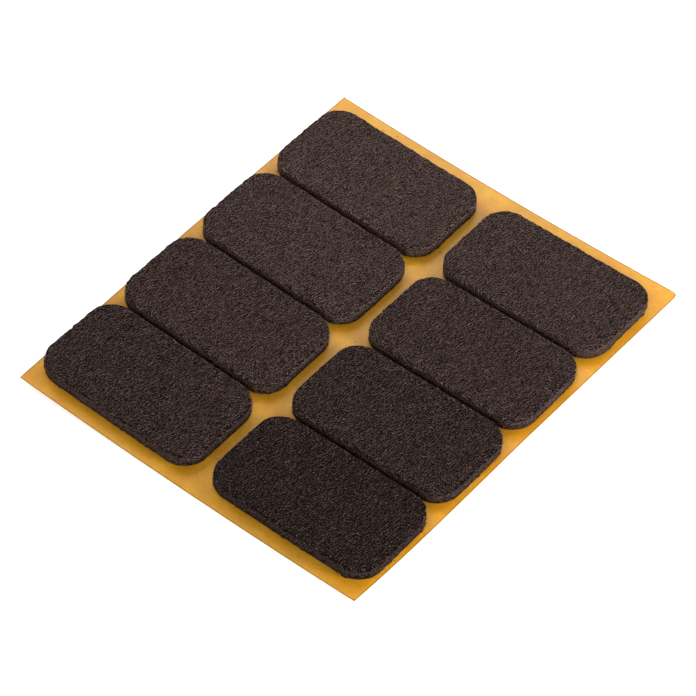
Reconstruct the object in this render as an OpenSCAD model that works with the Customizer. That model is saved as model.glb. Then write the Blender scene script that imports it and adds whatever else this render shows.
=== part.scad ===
// Sheet of self-adhesive felt furniture pads on a release liner, in millimetres.
// The origin is at the centre of the liner's underside. X runs across the sheet, along the pads'
// length, Y runs along the sheet, from the near end to the far end, and Z points up out of the felt.

/* [Pad] */
// Length of one pad, across the sheet
pad_length = 46; // [30:0.5:80]
// Width of one pad, along the sheet
pad_width = 26.5; // [18:0.5:60]
// Radius of the pad's corners, seen from above
pad_corner_r = 6.3; // [2:0.1:8.5]
// Thickness of the felt
felt_thickness = 3; // [1.5:0.05:6]
// Radius of the soft top edge that the cutting die leaves on the felt
felt_edge_r = 0.3; // [0.1:0.05:1.2]
// Thickness of the adhesive under the felt
adhesive_thickness = 0.15; // [0.05:0.01:0.5]

/* [Layout] */
// Pads across the sheet
columns = 2; // [1:1:4]
// Pads along the sheet
rows = 4; // [1:1:7]
// Bare liner between two columns
column_gap = 4; // [1:0.1:10]
// Bare liner between two rows
row_gap = 1.6; // [0.5:0.1:6]

/* [Liner] */
// Bare margin at each side of the sheet
side_margin = 1.5; // [0.5:0.1:10]
// Bare margin at the near end of the sheet
near_margin = 3.9; // [0.5:0.1:15]
// Bare margin at the far end of the sheet
far_margin = 5.1; // [0.5:0.1:15]
// Thickness of the release paper
liner_thickness = 0.15; // [0.05:0.01:0.4]

/* [Hidden] */
$fn = 96;

// Sheet, from the pads, their gaps and the margins
liner_width = columns * pad_length + (columns - 1) * column_gap + 2 * side_margin;
liner_length = rows * pad_width + (rows - 1) * row_gap + near_margin + far_margin;

// Straight stretches of a pad's outline, between its corners
straight_length = pad_length - 2 * pad_corner_r;
straight_width = pad_width - 2 * pad_corner_r;

// Heights of the two faces that meet on the liner, and of the felt's foot
liner_top = liner_thickness;
felt_foot = liner_top + adhesive_thickness;

// Pad centres, counted from the near end, left to right in each row
first_x = -liner_width / 2 + side_margin + pad_length / 2;
first_y = -liner_length / 2 + near_margin + pad_width / 2;
pad_centres = [
    for (row = [0:rows - 1], column = [0:columns - 1])
        [first_x + column * (pad_length + column_gap), first_y + row * (pad_width + row_gap)]
];
pad_numbers = [for (k = [1:len(pad_centres)]) k];

felt_colour = [0.22, 0.18, 0.165];
adhesive_colour = [0.55, 0.43, 0.27];
liner_colour = [0.79, 0.56, 0.24];

// Upright section through a pad's rim, from the corner's centre outwards: square at the foot and,
// where there is an edge radius, rounded at the top
module rim_section(height, edge_r) {
    square([pad_corner_r, height - edge_r]);
    if (edge_r > 0) {
        square([pad_corner_r - edge_r, height]);
        translate([pad_corner_r - edge_r, height - edge_r]) circle(edge_r);
    }
}

// Slab of the pad's outline: a plain middle, the rim section drawn along each straight side, and the
// same section turned a quarter round each corner
module pad_slab(height, edge_r) {
    translate([-straight_length / 2, -straight_width / 2, 0])
        cube([straight_length, straight_width, height]);
    for (side = [0:3]) {
        along_x = side % 2 == 1;
        reach = along_x ? straight_width / 2 : straight_length / 2;
        run = along_x ? straight_length : straight_width;
        rotate(90 * side) translate([reach, run / 2, 0]) {
            rotate([90, 0, 0]) linear_extrude(run) rim_section(height, edge_r);
            rotate_extrude(angle = 90) rim_section(height, edge_r);
        }
    }
}

module release_liner() {
    color(liner_colour)
        translate([-liner_width / 2, -liner_length / 2, 0])
            cube([liner_width, liner_length, liner_thickness]);
}

module adhesive_layer(k) {
    color(adhesive_colour)
        translate([pad_centres[k - 1].x, pad_centres[k - 1].y, liner_top])
            pad_slab(adhesive_thickness, 0);
}

module felt_pad(k) {
    color(felt_colour)
        translate([pad_centres[k - 1].x, pad_centres[k - 1].y, felt_foot])
            pad_slab(felt_thickness, felt_edge_r);
}

release_liner();
for (k = pad_numbers) {
    felt_pad(k);
    adhesive_layer(k);
}
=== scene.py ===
import math

import bpy
import numpy as np
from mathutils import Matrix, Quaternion, Vector


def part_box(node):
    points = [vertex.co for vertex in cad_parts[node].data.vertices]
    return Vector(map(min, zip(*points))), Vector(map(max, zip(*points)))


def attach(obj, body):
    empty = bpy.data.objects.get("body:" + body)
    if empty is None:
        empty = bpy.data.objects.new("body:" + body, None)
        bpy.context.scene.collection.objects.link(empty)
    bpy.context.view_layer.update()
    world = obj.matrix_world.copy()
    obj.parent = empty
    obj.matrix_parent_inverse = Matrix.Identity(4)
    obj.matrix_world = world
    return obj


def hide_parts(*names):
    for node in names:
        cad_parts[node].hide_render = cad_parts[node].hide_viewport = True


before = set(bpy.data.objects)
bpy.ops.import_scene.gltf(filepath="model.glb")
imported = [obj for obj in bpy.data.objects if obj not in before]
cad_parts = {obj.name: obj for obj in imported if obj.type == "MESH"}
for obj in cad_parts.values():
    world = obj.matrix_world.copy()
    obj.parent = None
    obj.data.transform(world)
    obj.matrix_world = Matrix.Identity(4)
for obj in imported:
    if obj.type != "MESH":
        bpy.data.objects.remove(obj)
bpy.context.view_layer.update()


# Release liner: one sheet of amber glassine paper with a silicone face, cut to size on a guillotine.
# It carries the pads and lies on the table. It is cut a little out of square, with a dark rim along its
# edge, and one corner is worn round. Its long sides curl up by about a millimetre, and the pads follow.
mm = 0.001
paper_half_w, paper_half_l, paper_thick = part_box("release_liner")[1]
side_curl = 1.16 * mm
corner_twist = 0.49 * mm
middle_lift = 0.05 * mm
worn_corner_r = 1.3 * mm
cut_skew = 0.95 * mm
near_skew_power = 4
rim_width = 0.45 * mm
paper_cell = 1.0 * mm
paper_sharp_angle = 40
paper_colour = (0.65, 0.306, 0.014, 1)
paper_deep_colour = (0.59, 0.262, 0.009, 1)
paper_pale_colour = (0.705, 0.360, 0.025, 1)
paper_fleck_colour = (0.30, 0.13, 0.02, 1)
paper_rim_colour = (0.24, 0.12, 0.02, 1)
paper_core_colour = (0.42, 0.25, 0.08, 1)


def sheet_lift(x, y):
    """Height of the paper's underside above the table at a place on the sheet."""
    across, along = x / paper_half_w, y / paper_half_l
    return middle_lift + side_curl * across**2 + corner_twist * across * along


def even_steps(half, cell):
    """Places from -half to half, about one cell apart."""
    return np.linspace(-half, half, int(round(2 * half / cell)) + 1)


def grid_quads(rows, columns):
    """Corner numbers of the faces of a grid of points, facing up."""
    at = np.arange(rows * columns).reshape(rows, columns)
    return np.stack([at[:-1, :-1], at[:-1, 1:], at[1:, 1:], at[1:, :-1]], -1).reshape(-1, 4)


def border_loop(rows, columns):
    """Numbers of a grid's border points, anticlockwise from above."""
    at = np.arange(rows * columns).reshape(rows, columns)
    return np.concatenate([at[0, :-1], at[:-1, -1], at[-1, :0:-1], at[:0:-1, 0]])


def wall_quads(upper, lower):
    """Faces of the wall between two loops of points, facing out."""
    return np.stack([upper, lower, np.roll(lower, -1), np.roll(upper, -1)], -1)


def thin_slab(x, y, foot, top):
    """Points and faces of a closed slab between two heights over a grid of places."""
    points = np.concatenate([np.stack([x, y, z], -1).reshape(-1, 3) for z in (top, foot)])
    upper = grid_quads(*x.shape)
    loop = border_loop(*x.shape)
    return points, [upper, x.size + upper[:, ::-1], wall_quads(loop, x.size + loop)]


def new_piece(name, points, face_groups, materials, sharp_angle):
    """Makes a smooth mesh object. Each group of faces takes the material beside it in the list."""
    mesh = bpy.data.meshes.new(name)
    mesh.from_pydata(points.tolist(), [], [face for group in face_groups for face in group.tolist()])
    for material in dict.fromkeys(materials):
        mesh.materials.append(material)
    slots = list(mesh.materials)
    slot_numbers = [slots.index(material) for material in materials]
    slot_of_face = np.repeat(slot_numbers, [len(group) for group in face_groups])
    mesh.polygons.foreach_set("material_index", slot_of_face.astype(np.int32))
    mesh.shade_smooth()
    mesh.set_sharp_from_angle(angle=math.radians(sharp_angle))
    mesh.update()
    piece = bpy.data.objects.new(name, mesh)
    bpy.context.scene.collection.objects.link(piece)
    return piece


def new_material(name):
    """An empty node material with its shader and its place on the object, in metres."""
    material = bpy.data.materials.new(name)
    material.use_nodes = True
    tree = material.node_tree
    shader = tree.nodes["Principled BSDF"]
    place = tree.nodes.new("ShaderNodeTexCoord").outputs["Object"]
    return material, tree, shader, place


def add_node(tree, kind, sockets, **options):
    """Adds a node. Each socket is given a value or the output that feeds it."""
    made = tree.nodes.new("ShaderNode" + kind)
    for option, value in options.items():
        setattr(made, option, value)
    for socket, value in sockets.items():
        if isinstance(value, bpy.types.NodeSocket):
            tree.links.new(value, made.inputs[socket])
        else:
            made.inputs[socket].default_value = value
    return made


def colour_ramp(tree, amount, stops):
    """Output of a colour ramp with these (place, colour) stops."""
    ramp = add_node(tree, "ValToRGB", {"Fac": amount})
    elements = ramp.color_ramp.elements
    while len(elements) < len(stops):
        elements.new(0.5)
    for element, (place, colour) in zip(elements, stops):
        element.position = place
        element.color = colour
    return ramp.outputs["Color"]


def mixed_colour(tree, amount, first, second, blend="MIX"):
    """Output of a colour mix. The node's colour sockets share their names, so they go by number."""
    mix = add_node(tree, "Mix", {}, data_type="RGBA", blend_type=blend)
    for socket, value in ((mix.inputs[0], amount), (mix.inputs[6], first), (mix.inputs[7], second)):
        if isinstance(value, bpy.types.NodeSocket):
            tree.links.new(value, socket)
        else:
            socket.default_value = value
    return mix.outputs[2]


def glassine_paper():
    """Waxy amber paper: cloudy pulp, fine fibres, a few dark flecks and a half-gloss silicone face."""
    material, tree, shader, place = new_material("glassine_paper")
    cloud = add_node(tree, "TexNoise", {"Vector": place, "Scale": 160, "Detail": 4, "Roughness": 0.6})
    fibre = add_node(tree, "TexNoise", {"Vector": place, "Scale": 1500, "Detail": 3, "Roughness": 0.7})
    fleck = add_node(tree, "TexNoise", {"Vector": place, "Scale": 900, "Detail": 1, "Roughness": 0.4})
    body = colour_ramp(
        tree,
        cloud.outputs["Fac"],
        [(0.30, paper_deep_colour), (0.50, paper_colour), (0.70, paper_pale_colour)],
    )
    grain = colour_ramp(tree, fibre.outputs["Fac"], [(0.3, (0.9, 0.9, 0.9, 1)), (0.7, (1, 1, 1, 1))])
    body = mixed_colour(tree, 1.0, body, grain, "MULTIPLY")
    specks = colour_ramp(tree, fleck.outputs["Fac"], [(0.75, (0, 0, 0, 1)), (0.79, (1, 1, 1, 1))])
    body = mixed_colour(tree, specks, body, paper_fleck_colour)
    rim = add_node(tree, "Attribute", {}, attribute_name="rim").outputs["Fac"]
    body = mixed_colour(tree, rim, body, paper_rim_colour)
    tree.links.new(body, shader.inputs["Base Color"])
    rough = add_node(
        tree, "MapRange", {"Value": cloud.outputs["Fac"], "To Min": 0.27, "To Max": 0.37}
    )
    tree.links.new(rough.outputs["Result"], shader.inputs["Roughness"])
    bump = add_node(
        tree, "Bump", {"Height": fibre.outputs["Fac"], "Strength": 0.25, "Distance": 0.05 * mm}
    )
    tree.links.new(bump.outputs["Normal"], shader.inputs["Normal"])
    shader.inputs["Specular IOR Level"].default_value = 0.26
    shader.subsurface_method = "BURLEY"
    shader.inputs["Subsurface Weight"].default_value = 0.5
    shader.inputs["Subsurface Radius"].default_value = (1.0, 0.4, 0.1)
    shader.inputs["Subsurface Scale"].default_value = 2.0 * mm
    return material


def paper_core():
    """The cut edge of the paper, where its uncoated pulp shows between the faces."""
    material, tree, shader, place = new_material("paper_core")
    pulp = add_node(tree, "TexNoise", {"Vector": place, "Scale": 2500, "Detail": 2})
    body = colour_ramp(
        tree, pulp.outputs["Fac"], [(0.35, paper_colour), (0.65, paper_core_colour)]
    )
    tree.links.new(body, shader.inputs["Base Color"])
    shader.inputs["Roughness"].default_value = 0.9
    return material


def round_corners(x, y, half_x, half_y, corner_r):
    """Draws a rectangle's grid in so that its corners are round. Also returns how far out each point
    lies in the rim, as the two parts of a direction that has length 1 along the border."""
    over_x = np.clip(np.abs(x) - (half_x - corner_r), 0, corner_r) / corner_r
    over_y = np.clip(np.abs(y) - (half_y - corner_r), 0, corner_r) / corner_r
    out_x = np.sign(x) * over_x * np.sqrt(1 - over_y**2 / 2)
    out_y = np.sign(y) * over_y * np.sqrt(1 - over_x**2 / 2)
    inner_x = np.clip(x, corner_r - half_x, half_x - corner_r)
    inner_y = np.clip(y, corner_r - half_y, half_y - corner_r)
    return inner_x + corner_r * out_x, inner_y + corner_r * out_y, out_x, out_y


def rimmed_steps(half, cell):
    """Places from -half to half, with one more just inside each end."""
    inner = even_steps(half - rim_width, cell)
    return np.concatenate([[-half], inner, [half]])


sheet_x, sheet_y = np.meshgrid(
    rimmed_steps(paper_half_w, paper_cell), rimmed_steps(paper_half_l, paper_cell)
)
worn_x, worn_y, _, _ = round_corners(sheet_x, sheet_y, paper_half_w, paper_half_l, worn_corner_r)
at_worn_corner = (sheet_x > 0) & (sheet_y > 0)
sheet_x = np.where(at_worn_corner, worn_x, sheet_x)
sheet_y = np.where(at_worn_corner, worn_y, sheet_y)
towards_far = np.clip(sheet_y / paper_half_l, 0, None)
towards_near = np.clip(-sheet_y / paper_half_l, 0, None)
out_of_square = np.where(
    sheet_x > 0, towards_far - towards_near**near_skew_power, towards_near
)
sheet_x += cut_skew * out_of_square * np.abs(sheet_x) / paper_half_w
underside = sheet_lift(sheet_x, sheet_y)
paper_points, paper_faces = thin_slab(sheet_x, sheet_y, underside, underside + paper_thick)
glassine = glassine_paper()
paper_materials = [glassine, glassine, paper_core()]
liner = new_piece("liner", paper_points, paper_faces, paper_materials, paper_sharp_angle)
rim_share = np.zeros(sheet_x.size, np.float32)
rim_share[border_loop(*sheet_x.shape)] = 1
liner.data.attributes.new("rim", "FLOAT", "POINT").data.foreach_set("value", np.tile(rim_share, 2))
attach(liner, "liner")
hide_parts("release_liner")


# Adhesive layers: a thin coat of clear, slightly yellow pressure-sensitive adhesive on the back of each
# pad. It is cut together with the felt, so it has the felt's outline, and the felt darkens it.
pad_corner_r = 6.3 * mm
adhesive_cell = 1.5 * mm
adhesive_sharp_angle = 40
adhesive_colour = (0.115, 0.066, 0.028, 1)
adhesive_thin_colour = (0.06, 0.036, 0.02, 1)
pad_numbers = [k for k in range(1, len(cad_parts)) if f"felt_pad_{k}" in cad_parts]


def tacky_coat():
    """Clear yellowish adhesive over dark felt: uneven in thickness, with a wet gloss."""
    material, tree, shader, place = new_material("tacky_coat")
    patch = add_node(tree, "TexNoise", {"Vector": place, "Scale": 700, "Detail": 3, "Roughness": 0.6})
    body = colour_ramp(
        tree, patch.outputs["Fac"], [(0.35, adhesive_thin_colour), (0.65, adhesive_colour)]
    )
    tree.links.new(body, shader.inputs["Base Color"])
    bump = add_node(
        tree, "Bump", {"Height": patch.outputs["Fac"], "Strength": 0.4, "Distance": 0.1 * mm}
    )
    tree.links.new(bump.outputs["Normal"], shader.inputs["Normal"])
    shader.inputs["Roughness"].default_value = 0.28
    return material


def pad_box(node):
    """Middle of a node's outline, its two half sizes, and its lowest and highest level."""
    low, high = (np.array(corner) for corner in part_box(node))
    middle, half = (low + high) / 2, (high - low) / 2
    return middle[:2], half[:2], low[2], high[2]


tacky = tacky_coat()
for k in pad_numbers:
    middle, half, foot, top = pad_box(f"adhesive_layer_{k}")
    coat_x, coat_y = np.meshgrid(
        even_steps(half[0], adhesive_cell), even_steps(half[1], adhesive_cell)
    )
    coat_x, coat_y, _, _ = round_corners(coat_x, coat_y, half[0], half[1], pad_corner_r)
    coat_x, coat_y = coat_x + middle[0], coat_y + middle[1]
    lift = sheet_lift(coat_x, coat_y)
    coat_points, coat_faces = thin_slab(coat_x, coat_y, foot + lift, top + lift)
    coat_materials = [tacky] * len(coat_faces)
    coat = new_piece(f"adhesive_{k}", coat_points, coat_faces, coat_materials, adhesive_sharp_angle)
    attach(coat, f"pad_{k}")
    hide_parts(f"adhesive_layer_{k}")


# Felt pads: dark brown needle-punched felt, cut out with a steel-rule die. The die leaves round corners,
# a soft top edge and a slightly ragged wall of lighter cut fibre ends, lit further with painted light. The
# face is a mat of strands that mostly run one way, darkened with painted shade where it lies low, with
# loose fibres on it and at the edge. The pads carry painted light that grows towards the far left of the
# sheet.
felt_edge_r = 0.3 * mm
felt_edge_w = 0.5 * mm
felt_cell_x = 0.1 * mm
felt_cell_y = 0.24 * mm
felt_sharp_angle = 75
felt_seed = 700
# Felt tones: darkest for painted shade in hollows, mid for the felt, lightest for cut ends and painted
# light.
felt_dark_and_shaded_colour = (0.0015, 0.0007, 0.0005, 1)
felt_colour = (0.0056, 0.0032, 0.0027, 1)
felt_light_and_lit_colour = (0.084, 0.056, 0.049, 1)
grain_angle = math.radians(75)
hair_turns = [math.radians(turn) for turn in (-26, 0, 22)]
hair_size = (0.65 * mm, 0.12 * mm, 0.12 * mm)
hair_gap_shade = (0.03, 0.03, 0.03, 1)
hair_shade = (3.8, 3.8, 3.8, 1)


def needle_felt():
    """Dark brown felt toned from the mesh, with painted shade and light. Finer fibres show between
    strands.
    """
    material, tree, shader, place = new_material("needle_felt")
    tone = add_node(tree, "Attribute", {}, attribute_name="tone_and_painted_light").outputs["Fac"]
    body = colour_ramp(
        tree, tone, [(0.0, felt_dark_and_shaded_colour), (0.5, felt_colour), (1.0, felt_light_and_lit_colour)]
    )
    hairs = 0.0
    for turn in hair_turns:
        along_hair = {"Vector": place, "Rotation": (0, 0, grain_angle + turn), "Scale": hair_size}
        spread = add_node(tree, "Mapping", along_hair, vector_type="TEXTURE").outputs["Vector"]
        fine = add_node(tree, "TexNoise", {"Vector": spread, "Scale": 1, "Detail": 2, "Roughness": 0.6})
        crest = add_node(
            tree, "MapRange", {"Value": fine.outputs["Fac"], "From Min": 0.5, "From Max": 0.7}
        ).outputs["Result"]
        hairs = add_node(tree, "Math", {0: hairs, 1: crest}, operation="MAXIMUM").outputs[0]
    grain = colour_ramp(tree, hairs, [(0.0, hair_gap_shade), (1.0, hair_shade)])
    body = mixed_colour(tree, 1.0, body, grain, "MULTIPLY")
    tree.links.new(body, shader.inputs["Base Color"])
    bump = add_node(
        tree, "Bump", {"Height": hairs, "Strength": 0.4, "Distance": 0.06 * mm}
    )
    tree.links.new(bump.outputs["Normal"], shader.inputs["Normal"])
    shader.inputs["Roughness"].default_value = 0.95
    shader.inputs["Specular IOR Level"].default_value = 0.05
    shader.inputs["Sheen Weight"].default_value = 0.02
    shader.inputs["Sheen Roughness"].default_value = 0.5
    shader.inputs["Sheen Tint"].default_value = (0.9, 0.78, 0.7, 1)
    return material


# Strands of the mat, laid at random on a grid of fine cells. A strand is three tracks wide: each has its
# step to the side, in cells, and its share of the strand's height.
grain_spread = math.radians(14)
stray_share = 0.15
strand_cell = 0.055 * mm
strands_per_mm2 = 14
strand_shortest = 0.8 * mm
strand_longest = 3.5 * mm
strand_curl = 200
strand_tip = 0.04
strand_tracks = ((-1, 0.8), (0, 1.0), (1, 0.8))


def arc_path(start, heading, bend, run, steps):
    """Flat points along arcs, one row each: from start, along heading, turning by bend per metre."""
    along = run[:, None] * steps
    turned = heading[:, None] + bend[:, None] * along
    x = start[:, :1] + (np.sin(turned) - np.sin(heading)[:, None]) / bend[:, None]
    y = start[:, 1:] - (np.cos(turned) - np.cos(heading)[:, None]) / bend[:, None]
    return x, y


def grain_headings(rng, count):
    """Headings of strands: most of them run with the grain, and the strays run anywhere."""
    with_grain = rng.normal(grain_angle, grain_spread, count)
    anywhere = rng.uniform(0, math.pi, count)
    return np.where(rng.random(count) < stray_share, anywhere, with_grain)


def lay_strands(rng, size):
    """Lays short curved strands at random on a flat area. Returns a grid of how high the top strand lies
    at each place, from 0 to 1."""
    columns, rows = (int(math.ceil(side / strand_cell)) for side in size)
    count = int(strands_per_mm2 * size[0] * size[1] / mm**2)
    start = rng.uniform((0, 0), size, (count, 2))
    heading = grain_headings(rng, count)
    run = rng.uniform(strand_shortest, strand_longest, count)
    steps = np.linspace(0, 1, int(strand_longest / strand_cell) + 2)
    x, y = arc_path(start, heading, rng.normal(0, strand_curl, count), run, steps)
    arch = np.sin(math.pi * (strand_tip + (1 - 2 * strand_tip) * steps)) ** 0.5
    level = rng.random(count)[:, None] * arch
    x = np.stack([x - track * strand_cell * np.sin(heading)[:, None] for track, _ in strand_tracks])
    y = np.stack([y + track * strand_cell * np.cos(heading)[:, None] for track, _ in strand_tracks])
    level = np.stack([level * share for _, share in strand_tracks]).ravel()
    spot = ((y / strand_cell).astype(int) % rows) * columns + (x / strand_cell).astype(int) % columns
    from_lowest = np.argsort(level)
    grid = np.zeros(rows * columns)
    grid[spot.ravel()[from_lowest]] = level[from_lowest]
    return grid.reshape(rows, columns)


def blurred(grid, reach):
    """A grid with each place averaged with those up to reach cells away along both sides."""
    for axis in (0, 1):
        grid = sum(np.roll(grid, step, axis) for step in range(-reach, reach + 1)) / (2 * reach + 1)
    return grid


def read_grid(grid, x, y):
    """Value of a grid of strands at any place, read between its cells. It repeats past its sides."""
    rows, columns = grid.shape
    x, y = x / strand_cell - 0.5, y / strand_cell - 0.5
    left, below = np.floor(x).astype(int), np.floor(y).astype(int)
    part_x, part_y = x - left, y - below
    value = 0
    for step_x, share_x in ((0, 1 - part_x), (1, part_x)):
        for step_y, share_y in ((0, 1 - part_y), (1, part_y)):
            value = value + grid[(below + step_y) % rows, (left + step_x) % columns] * share_x * share_y
    return value


# How the mat shows: its relief, its tone of painted shade where it lies low, and how far it is smoothed,
# in cells, to tell the strands from the ground that they lie on.
mat_relief = 0.04 * mm
hollow_shade_contrast = 0.55
mid_tone = 0.5
strand_blur = 1
ground_blur = 3
contrast_blur = 8


def felt_mat(rng, size, x, y, matting):
    """Relief, in metres, and tone of a matted face at these places. The tone is painted shade: dark where
    the face lies low, light on the strands on top. Matting is how marked the strands are, from 0 to 1."""
    grid = lay_strands(rng, size)
    proud = blurred(grid, strand_blur) - blurred(grid, ground_blur)
    proud = matting * read_grid(proud / np.sqrt(blurred(proud**2, contrast_blur)), x, y)
    return mat_relief * proud, mid_tone + hollow_shade_contrast * proud


# Loose fibres: some lie on the face, and cut ends stand out of the rounded edge and the wall. Their runs,
# humps, drops and rises are in millimetres, lowest and highest or one spread, and their curl is per metre.
fibre_rings = 5
fibre_sides = 3
fibre_tip = 0.25
fibre_side_from = (0.31, 0.17, 0.93)
fibre_lightness = 0.2
lying_fibres = 700
lying_thick = 0.065 * mm
lying_runs = (1.0, 4.0)
lying_humps = (0.02, 0.2)
lying_sink = 0.03 * mm
cut_ends = 800
cut_thick = 0.06 * mm
cut_drops = (0.05, 2.6)
cut_runs = (0.25, 0.75)
cut_rise = 0.18
cut_spread = 0.9
cut_curl = 1500
cut_inset = 0.12 * mm


def fibre_tubes(paths, thick):
    """Points and faces of thin fibres that taper to both ends, one along each path."""
    count, rings, _ = paths.shape
    ahead = np.gradient(paths, axis=1)
    side = np.cross(ahead, fibre_side_from)
    side /= np.linalg.norm(side, axis=-1, keepdims=True)
    upright = np.cross(side, ahead)
    upright /= np.linalg.norm(upright, axis=-1, keepdims=True)
    swell = np.sin(math.pi * np.linspace(0, 1, rings))
    taper = thick / 2 * (fibre_tip + (1 - fibre_tip) * swell)[None, :, None]
    turns = np.arange(fibre_sides) * 2 * math.pi / fibre_sides
    points = np.stack(
        [paths + taper * (math.cos(turn) * side + math.sin(turn) * upright) for turn in turns], axis=2
    )
    at = np.arange(count * rings * fibre_sides).reshape(count, rings, fibre_sides)
    around = np.roll(at, -1, axis=2)
    walls = np.stack([at[:, :-1], around[:, :-1], around[:, 1:], at[:, 1:]], -1).reshape(-1, 4)
    ends = np.concatenate([at[:, 0, ::-1], at[:, -1]])
    return points.reshape(-1, 3), walls, ends


def pulled_inside(places, limit):
    """Moves each row of places just far enough for all of it to lie between -limit and limit."""
    over = np.clip(places.max(1, keepdims=True) - limit, 0, None)
    under = np.clip(places.min(1, keepdims=True) + limit, None, 0)
    return places - over - under


def face_fibres(rng, half, top):
    """Paths of the loose fibres that lie on a pad's face."""
    steps = np.linspace(0, 1, fibre_rings)
    flat = half - felt_edge_w
    start = rng.uniform(-flat, flat, (lying_fibres, 2))
    run = rng.uniform(*lying_runs, lying_fibres) * mm
    bend = rng.normal(0, strand_curl, lying_fibres)
    x, y = arc_path(start, grain_headings(rng, lying_fibres), bend, run, steps)
    x, y = pulled_inside(x, flat[0]), pulled_inside(y, flat[1])
    x, y, _, _ = round_corners(x, y, flat[0], flat[1], pad_corner_r - felt_edge_w)
    hump = rng.uniform(*lying_humps, lying_fibres)[:, None] * mm
    return np.stack([x, y, top - lying_sink + hump * np.sin(math.pi * steps)], -1)


def cut_fibres(rng, half, top):
    """Paths of the fibre ends that stand out of a pad's rounded edge and its wall."""
    steps = np.linspace(0, 1, fibre_rings)
    on_end = rng.random(cut_ends) < half[1] / half.sum()
    sign = rng.choice((-1, 1), cut_ends)
    along = rng.uniform(-1, 1, cut_ends)
    edge_x = np.where(on_end, sign, along) * half[0]
    edge_y = np.where(on_end, along, sign) * half[1]
    edge_x, edge_y, out_x, out_y = round_corners(edge_x, edge_y, half[0], half[1], pad_corner_r)
    drop = rng.uniform(*cut_drops, cut_ends) * mm
    above = np.clip(1 - drop / felt_edge_r, 0, None)
    inset = felt_edge_w * (1 - np.sqrt(1 - above**2)) + cut_inset
    root = np.stack([edge_x - inset * out_x, edge_y - inset * out_y], -1)
    away = np.arctan2(out_y, out_x) + rng.normal(0, cut_spread, cut_ends)
    run = rng.uniform(*cut_runs, cut_ends) * mm
    x, y = arc_path(root, away, rng.normal(0, cut_curl, cut_ends), run, steps)
    z = top - drop[:, None] + rng.normal(0, cut_rise, cut_ends)[:, None] * mm * steps
    return np.stack([x, y, z], -1)


# The picture map: each group of a pad's faces fills a band of the square that a baked picture covers, and
# a band is given by its lower and upper side.
picture_sides = (0.02, 0.98)
face_band = (0.44, 0.98)
wall_band = (0.30, 0.42)
foot_band = (0.24, 0.28)
lying_bands = ((0.13, 0.21), (0.215, 0.22))
cut_bands = ((0.02, 0.10), (0.105, 0.11))
fibre_wall_columns = 360
fibre_end_columns = 720
cell_corners = ((0, 0), (1, 0), (1, 1), (0, 1))


def picture_cells(count, columns, band):
    """Corners of so many cells, filled row by row into a band of the picture map."""
    cell = np.arange(count)
    corners = [(cell % columns + right, cell // columns + up) for right, up in cell_corners]
    share = np.transpose(corners, (2, 0, 1)) / (columns, math.ceil(count / columns))
    low, high = np.transpose([picture_sides, band])
    return low + share * (high - low)


# One pad's edge and wall. The die tears the wall a little, its strands are less marked than those of the
# face, and it is lightest about half way down: partly lighter cut fibre ends, partly painted light where
# the wall lies in shade. The pads get painted light that grows towards the far left of the sheet.
edge_rows = 5
wall_rows = 13
wall_matting = 0.75
wall_mat_depth = 4 * mm
ragged_step = 0.8 * mm
ragged_depth = 0.12 * mm
ragged_top_share = 0.5
# Tone down the wall: lighter cut fibre ends, plus painted light where the wall lies in shade.
edge_tone_depths = (0.0, 0.15 * mm, 0.4 * mm, 1.0 * mm, 1.6 * mm, 2.3 * mm, 3.0 * mm)
edge_tones_and_painted_light = (0.03, 0.03, 0.11, 0.23, 0.23, 0.14, 0.02)
# Painted light on the pads: how much, how far it leans across to the left, and how it bows.
painted_light_drift = 0.15
painted_light_across = 0.62
painted_light_bow = 0.3


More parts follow.
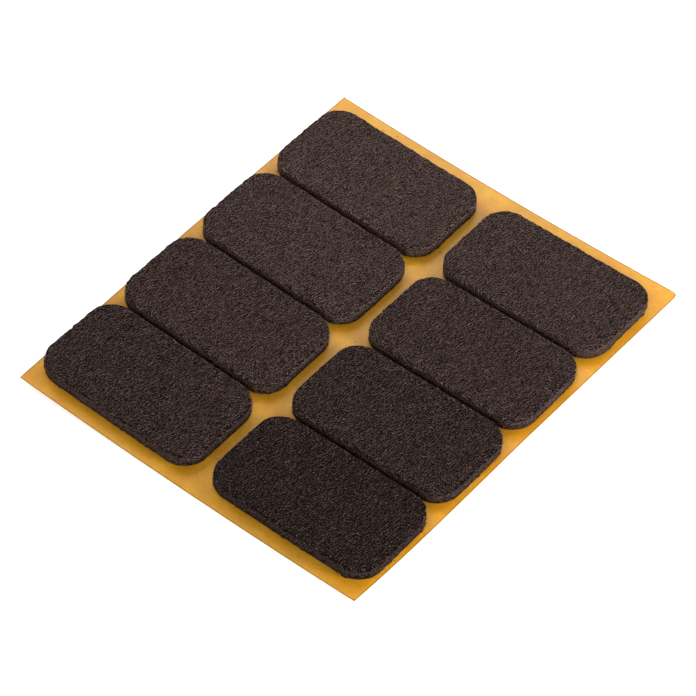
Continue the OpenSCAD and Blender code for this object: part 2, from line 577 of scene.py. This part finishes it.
def felt_pad(k, felt):
    """One pad: a matted face, a rounded edge and a ragged wall in one skin, and its loose fibres."""
    rng = np.random.default_rng(felt_seed + k)
    middle, half, foot, top = pad_box(f"felt_pad_{k}")
    flat = half - felt_edge_w
    x, y = np.meshgrid(even_steps(flat[0], felt_cell_x), even_steps(flat[1], felt_cell_y))
    x, y, out_x, out_y = round_corners(x, y, flat[0], flat[1], pad_corner_r - felt_edge_w)
    # The face's tone is painted shade, darker where the mat lies low between strands.
    relief, face_tone_and_shade = felt_mat(rng, 2 * half, x + half[0], y + half[1], 1.0)
    face = np.stack([x, y, top + relief], -1).reshape(-1, 3)

    loop = border_loop(*x.shape)
    rim = face[loop, :2]
    rim_out = np.stack([out_x.ravel()[loop], out_y.ravel()[loop]], -1)
    along = np.cumsum(np.hypot(*(rim - np.roll(rim, 1, axis=0)).T))
    turn = np.linspace(0, math.pi / 2, edge_rows + 1)[1:]
    drop = np.concatenate(
        [felt_edge_r * (1 - np.cos(turn)), np.linspace(felt_edge_r, top - foot, wall_rows + 1)[1:]]
    )
    reach = np.concatenate([felt_edge_w * np.sin(turn), np.full(wall_rows, felt_edge_w)])
    wall_along, wall_down = np.meshgrid(along, drop)
    wall_size = (wall_mat_depth, along[-1])
    wall_relief, wall_tone_and_light = felt_mat(rng, wall_size, wall_down, wall_along, wall_matting)
    nicks = rng.normal(0, ragged_depth, int(along[-1] / ragged_step))
    nicks = np.interp(along, np.linspace(0, along[-1], len(nicks) + 1), np.append(nicks, nicks[0]))
    ragged_share = np.linspace(ragged_top_share, 1, len(drop))[:, None]
    wall_reach = reach[:, None] + (wall_relief + nicks) * ragged_share
    wall = np.stack(
        [
            rim[:, 0] + wall_reach * rim_out[:, 0],
            rim[:, 1] + wall_reach * rim_out[:, 1],
            np.broadcast_to(top - drop[:, None], wall_reach.shape),
        ],
        -1,
    )
    loops = [loop] + [len(face) + row * len(loop) + np.arange(len(loop)) for row in range(len(drop))]
    points = np.concatenate([face, wall.reshape(-1, 3), [[0, 0, foot]]])
    # The wall takes the edge tones: lighter cut ends and painted light on its shaded middle.
    wall_tone_and_light = wall_tone_and_light + np.interp(drop, edge_tone_depths, edge_tones_and_painted_light)[:, None]
    tones_and_light = np.concatenate([face_tone_and_shade.ravel(), wall_tone_and_light.ravel(), [mid_tone]])
    groups = [
        grid_quads(*x.shape),
        np.concatenate([wall_quads(upper, lower) for upper, lower in zip(loops, loops[1:])]),
        np.stack([np.roll(loops[-1], -1), loops[-1], np.full(len(loop), len(points) - 1)], -1),
    ]
    cells = [
        picture_cells(len(groups[0]), x.shape[1] - 1, face_band),
        picture_cells(len(groups[1]), len(loop), wall_band)[:, (0, 3, 2, 1)],
        picture_cells(len(groups[2]), len(loop), foot_band)[:, :3],
    ]
    for paths, thick, (side_band, end_band) in (
        (face_fibres(rng, half, top), lying_thick, lying_bands),
        (cut_fibres(rng, half, top), cut_thick, cut_bands),
    ):
        fibre_points, fibre_walls, fibre_ends = fibre_tubes(paths, thick)
        groups += [len(points) + fibre_walls, len(points) + fibre_ends]
        cells += [
            picture_cells(len(fibre_walls), fibre_wall_columns, side_band),
            picture_cells(len(fibre_ends), fibre_end_columns, end_band)[:, :fibre_sides],
        ]
        points = np.concatenate([points, fibre_points])
        fibre_tone = rng.beta(2, 2, len(paths)) + fibre_lightness
        tones_and_light = np.concatenate([tones_and_light, np.repeat(fibre_tone, len(fibre_points) // len(paths))])

    points[:, :2] += middle
    points[:, 2] += sheet_lift(points[:, 0], points[:, 1])
    pad = new_piece(f"felt_{k}", points, groups, [felt] * len(groups), felt_sharp_angle)
    # Painted light: each pad is made lighter the nearer it lies to the far left of the sheet.
    far_left = middle[1] / paper_half_l - painted_light_across * middle[0] / paper_half_w
    painted_light_shift = painted_light_drift * (far_left - painted_light_bow * far_left**2)
    tone_and_light_values = np.clip(tones_and_light + painted_light_shift, 0, 1).astype(np.float32)
    pad.data.attributes.new("tone_and_painted_light", "FLOAT", "POINT").data.foreach_set("value", tone_and_light_values)
    picture_map = np.concatenate([group.ravel() for group in cells]).astype(np.float32)
    pad.data.uv_layers.new(name="OFBake").data.foreach_set("uv", picture_map)
    return pad


felt = needle_felt()
for k in pad_numbers:
    pad = felt_pad(k, felt)
    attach(pad, f"pad_{k}")
    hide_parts(f"felt_pad_{k}")


# Table: a plain white top that the sheet lies on. It is brighter to the eye than the light makes it, and
# full white from some way off the sheet, so that it has no end. It still takes the sheet's soft shadow.
table_half = 3.0
table_drop = 0.02 * mm
table_colour = (0.82, 0.82, 0.82, 1)
table_glow = 0.6
glow_near = 0.15
glow_far = 0.4


def looked_at(tree):
    """Output that is 1 where something is seen straight, in a gloss or through a clear piece, else 0."""
    rays = add_node(tree, "LightPath", {}).outputs
    seen = rays["Is Camera Ray"]
    for kind in ("Is Glossy Ray", "Is Transmission Ray"):
        seen = add_node(tree, "Math", {0: seen, 1: rays[kind]}, operation="MAXIMUM").outputs[0]
    return seen


def white_table():
    """White matt table top."""
    material, tree, shader, place = new_material("white_table")
    away = add_node(tree, "VectorMath", {0: place}, operation="LENGTH").outputs["Value"]
    glow_range = {"From Min": glow_near, "From Max": glow_far, "To Min": table_glow, "To Max": 1.0}
    strength = add_node(tree, "MapRange", {"Value": away, **glow_range}).outputs["Result"]
    glow = add_node(tree, "Math", {0: looked_at(tree), 1: strength}, operation="MULTIPLY")
    shader.inputs["Base Color"].default_value = table_colour
    shader.inputs["Roughness"].default_value = 0.9
    shader.inputs["Specular IOR Level"].default_value = 0.0
    shader.inputs["Emission Color"].default_value = (1, 1, 1, 1)
    tree.links.new(glow.outputs[0], shader.inputs["Emission Strength"])
    return material


table_signs = ((-1, -1), (1, -1), (1, 1), (-1, 1))
table_corners = [(x * table_half, y * table_half, 0) for x, y in table_signs]
table_mesh = bpy.data.meshes.new("table")
table_mesh.from_pydata(table_corners, [], [(0, 1, 2, 3)])
table_mesh.materials.append(white_table())
table = bpy.data.objects.new("table", table_mesh)
table.location.z = -table_drop
bpy.context.scene.collection.objects.link(table)


# Light: a dim white room and five soft lamps. A large one at the left lights the tops, a smaller and
# stronger one at the right also lights the pads' end walls, and the front lamp fills the near edge. The
# two lamps at the back put a sheen on the far end of the paper.
room_strength = 0.12
# Each lamp has its place and width in metres, and its power in watts.
lamps = {
    "left_lamp": (Vector((-0.32, 0.07, 0.27)), 0.30, 0.95),
    "back_left_lamp": (Vector((-0.10, 0.17, 0.15)), 0.14, 0.155),
    "back_right_lamp": (Vector((0.06, 0.19, 0.14)), 0.16, 0.145),
    "right_lamp": (Vector((0.41, 0.10, 0.125)), 0.16, 1.95),
    "front_lamp": (Vector((0.15, -0.33, 0.18)), 0.25, 1.0),
}
# The right lamp's glint would whiten the paper in low views from the left.
lamps_without_glint = ["right_lamp"]

world = bpy.data.worlds.new("room")
world.use_nodes = True
world_tree = world.node_tree
room = world_tree.nodes["Background"]
room.inputs["Color"].default_value = (1, 1, 1, 1)
room_light = add_node(
    world_tree, "MapRange", {"Value": looked_at(world_tree), "To Min": room_strength, "To Max": 1.0}
)
world_tree.links.new(room_light.outputs["Result"], room.inputs["Strength"])
bpy.context.scene.world = world

for lamp_name, (lamp_place, lamp_side, lamp_power) in lamps.items():
    lamp_data = bpy.data.lights.new(lamp_name, "AREA")
    lamp_data.shape = "DISK"
    lamp_data.size = lamp_side
    lamp_data.energy = lamp_power
    lamp = bpy.data.objects.new(lamp_name, lamp_data)
    lamp.location = lamp_place
    lamp.visible_glossy = lamp_name not in lamps_without_glint
    lamp.rotation_mode = "QUATERNION"
    lamp.rotation_quaternion = (-lamp_place).to_track_quat("-Z", "Y")
    bpy.context.scene.collection.objects.link(lamp)


# Camera: a long lens at the photograph's angle, with the horizon tipped a few degrees. It is aimed near
# the middle of the sheet, and all of the sheet is in focus.
view_azimuth = math.radians(35.15)
view_elevation = math.radians(48.6)
view_roll = math.radians(4.4)
view_distance = 0.9057
view_aim = Vector((1.54 * mm, -2.83 * mm, paper_thick + middle_lift))
view_lens = 203.25
sensor = 36.0
near_clip = 0.01

camera_data = bpy.data.cameras.new("camera")
camera_data.lens = view_lens
camera_data.sensor_width = sensor
camera_data.clip_start = near_clip
camera = bpy.data.objects.new("camera", camera_data)
towards_eye = Vector(
    (
        math.sin(view_azimuth) * math.cos(view_elevation),
        -math.cos(view_azimuth) * math.cos(view_elevation),
        math.sin(view_elevation),
    )
)
camera.location = view_aim + view_distance * towards_eye
camera.rotation_mode = "QUATERNION"
camera.rotation_quaternion = (-towards_eye).to_track_quat("-Z", "Y") @ Quaternion((0, 0, 1), view_roll)
bpy.context.scene.collection.objects.link(camera)
bpy.context.scene.camera = camera
bpy.context.scene.view_settings.view_transform = "Standard"
